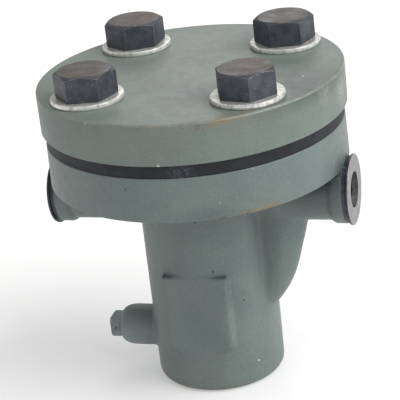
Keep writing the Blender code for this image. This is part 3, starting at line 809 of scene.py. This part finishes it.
bolt = {
    "halfFlats": 16.65, "chamfer": 16.0, "chamferAngle": 30, "crownDrop": 4, "footInset": 0.9,
    "crownReach": 1.5, "lift": 0.02, "edge": 0.62, "thread": (9.9, 1.15, 2.82),
    "threadTop": 176.0, "tipBevel": 1.2, "tipPlain": 1.4, "shankRadius": 11.05,
    "turns": (11.5, -10.8, 27.2, 14.9),
}


def makeBolts():
    # one screw on the axis, then copied to the four holes
    b = bolt
    low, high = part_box("bolt_1")
    top, tip = high.z / mm, low.z / mm
    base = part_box("washer_1")[1].z / mm + b["lift"]
    reach = b["halfFlats"] / math.cos(math.pi / 6)
    head = hexPrism("hexHead", reach, base, top)
    giveMaterials(head, boltSteel, boltEdgeWearAndHighlight)
    slope = math.tan(math.radians(b["chamferAngle"]))
    inner, outer, chamfer = reach - b["footInset"], reach + b["crownReach"], b["chamfer"]
    crown = [(inner, base - 1), (inner, base),
             (outer, base + (b["footInset"] + b["crownReach"]) * slope),
             (outer, top - (outer - chamfer) * slope), (chamfer, top),
             (chamfer - b["crownDrop"], top + 0.05)]
    combined(head, turnedUp("crown", crown, 144), "INTERSECT")
    # the bevelled corners take the rubbed steel with its painted highlight
    bevelCorners(head, b["edge"])
    minor, bevel = b["thread"][0], b["tipBevel"]
    shank = [(minor - bevel, tip), (minor, tip + bevel)]
    shank += threaded(b["thread"], tip + b["tipPlain"], b["threadTop"])
    shank += [(b["shankRadius"], b["threadTop"] + 0.6), (b["shankRadius"], base + 0.5)]
    combined(head, turnedUp("shank", shank, 64), "UNION")
    copyToBolts(head, "hexBolt", "bolt", "bolt_steel", b["turns"])


washer = {
    "hole": 11.9, "sink": 0.25, "brightRim": 0.9, "turns": (37, 74, 111, 148),
    "outline": [("radius", "bottom", [(-0.4, 0), (-0.05, 0.5), (0, 1.0)]),
                ("radius", "top", [(-0.05, -0.9), (-0.25, -0.35), (-0.6, -0.08), (-1.0, 0)]),
                ("hole", "top", [(0.4, 0), (0, -0.4)]), ("hole", "bottom", [(0, 0)])],
}


def makeWashers():
    low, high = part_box("washer_1")
    radius = (high.x - low.x) / 2 / mm
    sizes = dict(washer, radius=radius, bottom=low.z / mm - washer["sink"], top=high.z / mm)
    pattern = turnedUp("washer", outlineFrom(sizes, washer["outline"]), 96, hollow=True)
    giveMaterials(pattern, zincPlate, zincRimHighlight)
    # the outer rim takes the painted highlight
    paintFaces(pattern, 1, lambda p, n: math.hypot(p.x, p.y) > radius - washer["brightRim"])
    copyToBolts(pattern, "washer", "washer", "washer_zinc", washer["turns"])


plug = {"half": 6.35, "sink": 1.0, "crown": (1.38, 1.44, 1.24), "edge": 0.35,
        "thread": (7.3, 0.65, 1.81), "lead": 0.7, "neck": 7.4}


def makePlug():
    g = plug
    low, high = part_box("drain_plug")
    end, inner, height = -low.x / mm, -high.x / mm, (low.z + high.z) / 2 / mm
    half, base, minor = g["half"], casting["bossEnd"] - g["sink"], g["thread"][0]
    head = block("squareHead", (-half, -half, base), (half, half, end))
    below, waist, face = (half * share for share in g["crown"])
    crown = [(below, base - 1), (waist, end - 1.0), (face, end)]
    combined(head, turnedUp("crown", crown, 96), "INTERSECT")
    giveMaterials(head, plugPaintLit, boltSteel)
    bevelCorners(head, g["edge"])
    outline = [(minor - g["lead"], inner), (minor, inner + 1)]
    outline += threaded(g["thread"], inner + 1.2, base - 1.0)
    outline += [(g["neck"], base - 0.2), (g["neck"], base + 0.6)]
    combined(head, turnedUp("thread", outline, 48), "UNION")
    pointing(head, height, -1)
    head.name = "squareHeadPlug"
    paintFaces(head, 1, lambda p, n: p.x > -base + 0.2)
    handOver(head, "plug", "drain_plug", "plug_steel")


# heights from the lever's middle; at rest it hangs open by openAngle
lever = {
    "openAngle": math.degrees(0.32), "halfThick": 1.2, "halfWide": 4.5, "tail": -4.0,
    "tip": 29.0, "edge": 0.5, "eyeRadius": 3.2, "eyeInset": 0.05, "holeRadius": 1.75,
    "valveArm": 10.0, "stem": 1.5, "disc": 4.0, "above": 1.2, "below": -1.2, "nose": 5.0,
    "valveOutline": [("stem", "below", [(-0.3, -2.2), (0, -1.9)]), ("stem", "above", [(0, 0.2)]),
                     ("disc", "above", [(-0.3, 0.2), (0, 0.5)]),
                     ("disc", "nose", [(0, -1.1), (-0.4, -0.6), (-1.6, -0.1), (-3.2, 0)])],
    "clipOutline": [("disc", "below", [(0, -1.3), (0, -0.3)]),
                    ("holeRadius", "below", [(0, -0.3), (0, -1.3)])],
}


def makeLeverPieces():
    g = lever
    thick, wide, hole, arm = g["halfThick"], g["halfWide"], g["holeRadius"], g["valveArm"]
    bar = block("rockingLever", (g["tail"], -wide, -thick), (g["tip"], wide, thick), g["edge"])
    eyeEnd = wide - g["eyeInset"]
    combined(bar, rodBetween("eye", (0, -eyeEnd, 0), (0, eyeEnd, 0), g["eyeRadius"]), "UNION")
    combined(bar, rodBetween("pinHole", (0, -9, 0), (0, 9, 0), hole))
    combined(bar, post("stemHole", arm, 0, -5, 5, hole))
    valve = turnedUp("valvePlug", outlineFrom(g, g["valveOutline"]), 48)
    clip = turnedUp("valveClip", outlineFrom(g, g["clipOutline"]), 40, hollow=True)
    moved(valve, (arm, 0, 0))
    moved(clip, (arm, 0, 0))
    for piece, node, slot, steel in ((bar, "lever", "sheet_steel", sheetSteel),
                                     (valve, "valve", "stainless", turnedSteel),
                                     (clip, "valve_clip", "stainless", turnedSteel)):
        moved(piece, layout["pivot"], (0, g["openAngle"], 0))
        handOver(piece, "lever", node, slot, steel)


bracket = {"sink": 0.25, "plate": 1.5, "edge": 0.4, "earNear": 6.3, "earFar": 7.8,
           "earLow": -29, "earHigh": -21, "earJoin": 0.8, "seatHole": 8.6, "pinHole": 1.75,
           "screwHole": 2.75, "cut": (170, 182)}


def makeBracket():
    g = bracket
    low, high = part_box("lever_bracket")
    plateTop, plateBottom = high.z / mm + g["sink"], high.z / mm - g["plate"]
    piece = block(
        "leverBracket", (low.x / mm, low.y / mm, plateBottom),
        (high.x / mm, high.y / mm, plateTop), g["edge"])
    for side in (-1, 1):
        near, far = sorted((g["earNear"] * side, g["earFar"] * side))
        ear = block("ear", (g["earLow"], near, low.z / mm),
                    (g["earHigh"], far, plateBottom + g["earJoin"]), g["edge"])
        combined(piece, ear, "UNION")
    seatX, (pivotX, pivotY, pivotZ) = layout["seatX"], layout["pivot"]
    cutters = [post("seatHole", seatX, 0, *g["cut"], g["seatHole"]),
               rodBetween("pinHole", (pivotX, -12, pivotZ), (pivotX, 12, pivotZ), g["pinHole"])]
    cutters += [post("screwHole", seatX, layout["screwY"] * side, *g["cut"], g["screwHole"])
                for side in (-1, 1)]
    for cutter in cutters:
        combined(piece, cutter)
    handOver(piece, "cap", "lever_bracket", "sheet_steel", sheetSteel)


seat = {"reach": 8.05, "head": 5.4, "edge": 0.3, "thread": (5.9, 0.55, 1.4), "neck": 6.2,
        "tip": 5.5, "orifice": 2.0, "mouth": 3.0}


def makeSeat():
    g = seat
    low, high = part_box("valve_seat")
    base, top = low.z / mm, high.z / mm
    piece = hexPrism("valveSeat", g["reach"], base, base + g["head"])
    applied(piece, "BEVEL", width=g["edge"] * mm, segments=2)
    outline = [
        (g["neck"], base + 4), *threaded(g["thread"], base + 5.2, top - 0.4), (g["tip"], top)]
    combined(piece, turnedUp("thread", outline, 48), "UNION")
    orifice = [(g["mouth"], base - 0.5), (g["orifice"], base + 0.7), (g["orifice"], top + 1)]
    combined(piece, turnedUp("orifice", orifice, 40))
    moved(piece, (layout["seatX"], 0, 0))
    handOver(piece, "cap", "valve_seat", "stainless", turnedSteel)


screw = {"headRadius": 4.2, "headRound": 1.1, "head": 2.95, "neck": 2.3,
         "thread": (2.0, 0.45, 0.9), "tip": 1.8, "slotHalf": 0.45, "slotDepth": 1.1}


def makeBracketScrews():
    g = screw
    for number, side in enumerate((-1, 1), start=1):
        low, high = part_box(f"bracket_screw_{number}")
        base, top = low.z / mm, high.z / mm
        outline = rounded(g["headRadius"], base, g["headRound"], 4, False)
        outline += [(g["headRadius"], base + g["head"]), (g["neck"], base + g["head"])]
        outline += threaded(g["thread"], base + 3.2, top - 0.3) + [(g["tip"], top)]
        piece = turnedUp(f"bracketScrew{number}", outline, 40)
        slot = block(
            "slot", (-6, -g["slotHalf"], base - 1), (6, g["slotHalf"], base + g["slotDepth"]))
        combined(piece, slot)
        moved(piece, (layout["seatX"], layout["screwY"] * side, 0))
        handOver(piece, "cap", f"bracket_screw_{number}", "stainless", turnedSteel)


pin = {"radius": 1.5, "edge": 0.3}


def makePin():
    radius, edge = pin["radius"], pin["edge"]
    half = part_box("fulcrum_pin")[1].y / mm
    piece = turnedUp("fulcrumPin", [
        (radius - edge, -half), (radius, edge - half), (radius, half - edge),
        (radius - edge, half)], 40)
    moved(piece, layout["pivot"], (90, 0, 0))
    handOver(piece, "cap", "fulcrum_pin", "stainless", turnedSteel)


# inside down, round the rolled lip, and outside up past the swaged bead
bucket = {
    "wall": 1.2, "round": 2.6, "vent": 1.5, "ventX": 14,
    "outline": [("inner", "top", [(-2, -1.2), (-0.6, -1.8), (0, -3.2)]),
                ("inner", "bottom", [(0, 0.5), (0.25, 0)]),
                ("radius", "bottom", [(-0.3, 0), (0, 0.5), (0, 3.0), (-0.5, 3.8), (-0.5, 5.6),
                                      (0, 6.4)])],
}


def makeBucket():
    g = bucket
    low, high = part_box("bucket")
    top, radius, over = high.z / mm, high.x / mm, making["overcut"]
    sizes = {"top": top, "bottom": low.z / mm, "radius": radius, "inner": radius - g["wall"]}
    outline = outlineFrom(sizes, g["outline"]) + rounded(radius, top, g["round"], 6, True)
    piece = turnedUp("bucketShell", outline, 128)
    combined(piece, post("vent", g["ventX"], 0, top - over, top + over, g["vent"]))
    handOver(piece, "bucket", "bucket", "sheet_steel", sheetSteel)


def bentBar(name, radius, start, facing, moves, wall=0.0):
    # a ring is pushed straight along (offset,) and spun round (centre, axis, degrees)
    deselect()
    turn = Vector(facing).to_track_quat("Z", "Y").to_euler()
    bpy.ops.mesh.primitive_circle_add(
        vertices=28, radius=radius * mm, fill_type="NOTHING", location=Vector(start) * mm,
        rotation=turn)
    piece = bpy.context.object
    piece.name = name
    applyPlace(piece)
    bpy.ops.object.mode_set(mode="EDIT")
    bpy.ops.mesh.select_mode(type="EDGE")
    bpy.ops.mesh.select_all(action="SELECT")
    for move in moves:
        if len(move) == 1:
            extrudeBy(move[0])
        else:
            centre, axis, degrees = move
            bpy.ops.mesh.spin(
                steps=10, angle=math.radians(degrees), center=Vector(centre) * mm, axis=axis)
    bpy.ops.mesh.select_all(action="SELECT")
    bpy.ops.mesh.remove_doubles(threshold=making["weld"] * mm)
    if not wall:
        bpy.ops.mesh.fill_holes(sides=0)
    closeMesh()
    if wall:
        applied(piece, "SOLIDIFY", thickness=wall * mm, offset=-1)
    return piece


hook = {"radius": 1.2, "sink": 0.2, "bend": 3.0}


def makeHook():
    low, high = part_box("bucket_hook")
    radius, bend = hook["radius"], hook["bend"]
    foot, crown, half = low.z / mm - hook["sink"], high.z / mm - radius, high.y / mm - radius
    rise, across = (crown - bend) - foot, 2 * (half - bend)
    piece = bentBar("bucketHook", radius, (0, half, foot), (0, 0, 1),
                    [((0, 0, rise),), ((0, half - bend, crown - bend), (1, 0, 0), -90),
                     ((0, -across, 0),), ((0, bend - half, crown - bend), (1, 0, 0), -90),
                     ((0, 0, -rise),)])
    handOver(piece, "bucket", "bucket_hook", "stainless", turnedSteel)


tube = {"radius": 6.0, "bend": 10.0, "wall": 1.2}


def makeTube():
    low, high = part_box("inlet_tube")
    radius, bend = tube["radius"], tube["bend"]
    start, top, level = high.x / mm, high.z / mm, low.z / mm + radius
    piece = bentBar("inletTube", radius, (start, 0, level), (-1, 0, 0),
                    [((bend - start, 0, 0),), ((bend, 0, level + bend), (0, 1, 0), -90),
                     ((0, 0, top - level - bend),)], tube["wall"])
    handOver(piece, "body", "inlet_tube", "sheet_steel", sheetSteel)


# the camera stands "distance" cap diameters from the centre of the cap's top, shifted sideways
# and upwards by so many diameters; angles in degrees, lens and sensor in mm
studio = {
    "capDiameter": 190.5, "azimuth": 17.991, "elevation": 22.389, "roll": 6.675,
    "sideways": -0.0346, "upwards": 0.4177, "distance": 5.4717, "lens": 152.7, "sensor": 36,
    "floorSize": 60, "floor": "#cfcfce", "floorGlow": 0.32, "world": 0.44, "aim": (0, 0, 0.12),
    # place in metres, width in degrees for a sun and metres for a panel
    "lights": {
        "key": {"kind": "SUN", "place": (1.05, -0.16, 1.13), "width": 60, "power": 3.05},
        "fill": {"kind": "AREA", "place": (-1.2, -0.1, 0.45), "width": 0.6, "power": 0.6},
        "glint": {"kind": "AREA", "place": (-0.2, 0.9, 0.75), "width": 0.5, "power": 1.8},
    },
}


def makeStudio():
    s = studio
    white = (1, 1, 1, 1)
    deselect()
    bpy.ops.mesh.primitive_plane_add(size=s["floorSize"], location=(0, 0, 0))
    floor = bpy.context.object
    floor.name = "paleFloor"
    # a light table: pale and faintly lit from below, so shadows stay soft
    material = newMaterial("paleFloor", 0.8, 0.0, {
        "Base Color": hexColor(s["floor"]), "Emission Color": white,
        "Emission Strength": s["floorGlow"]})[0]
    floor.data.materials.append(material)

    world = bpy.data.worlds.new("softWhite")
    world.use_nodes = True
    background = world.node_tree.nodes["Background"]
    background.inputs["Color"].default_value = white
    background.inputs["Strength"].default_value = s["world"]
    bpy.context.scene.world = world
    aim = Vector(s["aim"])
    for name, light in s["lights"].items():
        lamp = bpy.data.lights.new(name, light["kind"])
        lamp.energy = light["power"]
        if light["kind"] == "SUN":
            lamp.angle = math.radians(light["width"])
        else:
            lamp.shape = "DISK"
            lamp.size = light["width"]
        holder = bpy.data.objects.new(name, lamp)
        holder.location = light["place"]
        holder.rotation_euler = (aim - holder.location).to_track_quat("-Z", "Y").to_euler()
        bpy.context.collection.objects.link(holder)

    azimuth, elevation, roll = (math.radians(s[key]) for key in ("azimuth", "elevation", "roll"))
    back = Vector((
        math.sin(azimuth) * math.cos(elevation), -math.cos(azimuth) * math.cos(elevation),
        math.sin(elevation)))
    right = Vector((math.cos(azimuth), math.sin(azimuth), 0))
    up = back.cross(right)
    right, up = (math.cos(roll) * right - math.sin(roll) * up,
                 math.sin(roll) * right + math.cos(roll) * up)
    unit = s["capDiameter"] * mm
    place = (back * s["distance"] - right * s["sideways"] - up * s["upwards"]) * unit
    camera = bpy.data.objects.new("camera", bpy.data.cameras.new("camera"))
    camera.data.lens = s["lens"]
    camera.data.sensor_width = s["sensor"]
    camera.location = place + Vector((0, 0, cap["top"] * mm))
    camera.rotation_mode = "QUATERNION"
    camera.rotation_quaternion = Matrix((right, up, back)).transposed().to_quaternion()
    bpy.context.collection.objects.link(camera)
    bpy.context.scene.camera = camera
    bpy.context.scene.view_settings.view_transform = "Standard"
    print("studio ready")


makeStudio()
makeCasting()
makeCap()
makeGasket()
makeBolts()
makeWashers()
makePlug()
makeLeverPieces()
makeBracket()
makeSeat()
makeBracketScrews()
makePin()
makeBucket()
makeHook()
makeTube()
